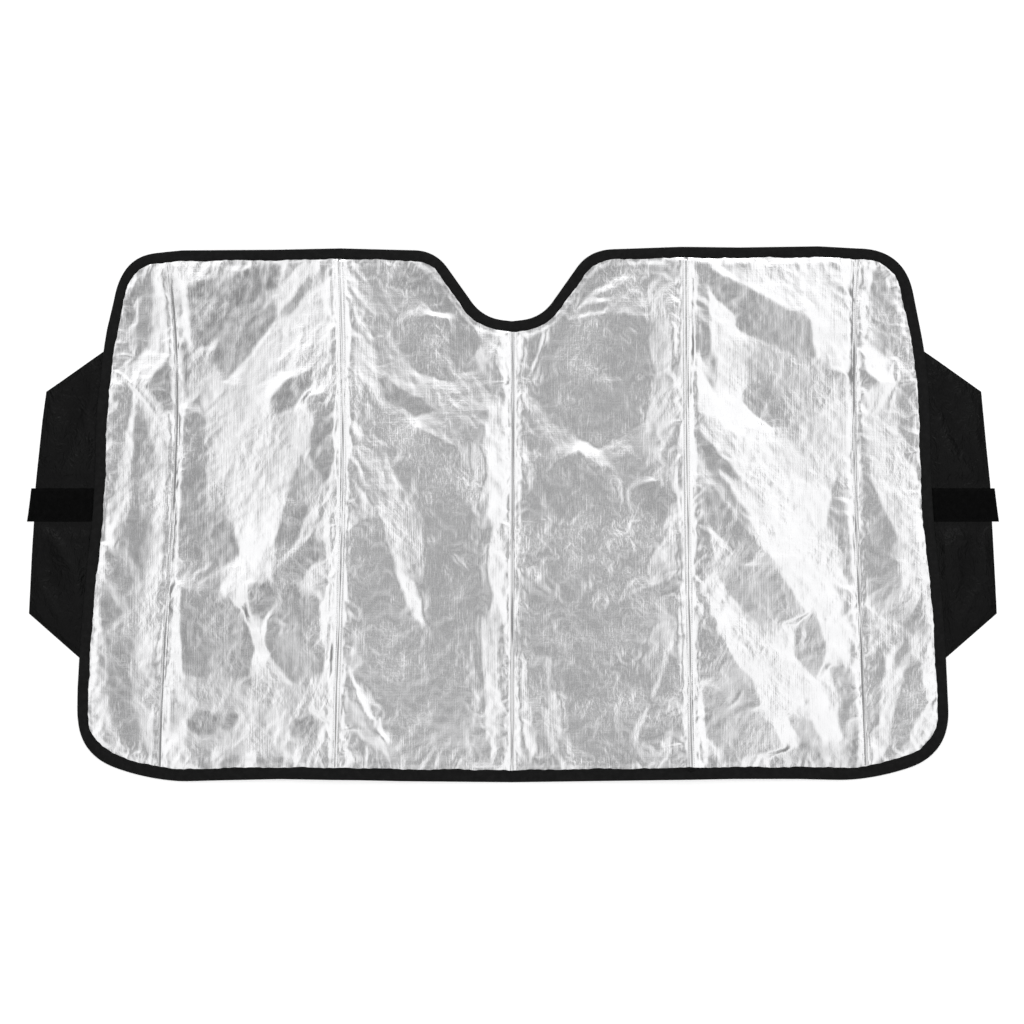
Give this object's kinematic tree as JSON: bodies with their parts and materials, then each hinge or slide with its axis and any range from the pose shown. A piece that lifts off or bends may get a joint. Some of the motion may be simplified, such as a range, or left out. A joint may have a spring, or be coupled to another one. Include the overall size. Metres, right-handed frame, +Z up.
{
  "type": "windscreen sunshade",
  "caption": "Fold-up windscreen sunshade laid flat: quilted foil sheet with a mirror notch, bound edge, and cloth side wings with closure tapes.",
  "frame": {"origin": "on the floor under the middle of the sheet's bounding box, as the shade lies foil side up", "axes": "+X to the shade's right, from the hook tape to the loop tape; +Y towards the edge with the mirror notch; +Z up, out of the foil face"},
  "size_m": [1.4552, 0.8, 0.0175],
  "materials": {
    "foil": "soft creased metallised film",
    "binding": "black woven tape",
    "wing_cloth": "black nylon with a soft sheen",
    "closure_tape": "black hook and loop pile"
  },
  "bodies": {
    "root": {"foil_panel": "foil", "edge_binding": "binding", "left_wing": "wing_cloth", "right_wing": "wing_cloth", "left_hook_tape": "closure_tape", "right_loop_tape": "closure_tape"}
  },
  "joints": []
}
